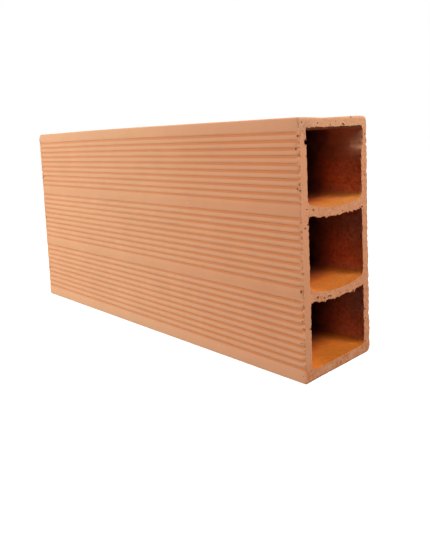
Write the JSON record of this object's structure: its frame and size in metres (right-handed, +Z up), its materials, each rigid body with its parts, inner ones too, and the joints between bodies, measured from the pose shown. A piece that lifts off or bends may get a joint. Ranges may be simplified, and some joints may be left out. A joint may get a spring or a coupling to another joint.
{
  "type": "hollow clay brick",
  "caption": "Hollow fired-clay partition brick with large through cells stacked over its height, combed grooves on both large faces and wire-cut ends.",
  "frame": {"origin": "centre of the underside, the long narrow bed face that the brick stands on", "axes": "+X along the extrusion and the cells, +Y through the thickness towards one grooved face, +Z up"},
  "size_m": [0.4, 0.09, 0.2],
  "materials": {
    "fired_clay": "matte"
  },
  "bodies": {
    "root": {"brick": "fired_clay"}
  },
  "joints": []
}
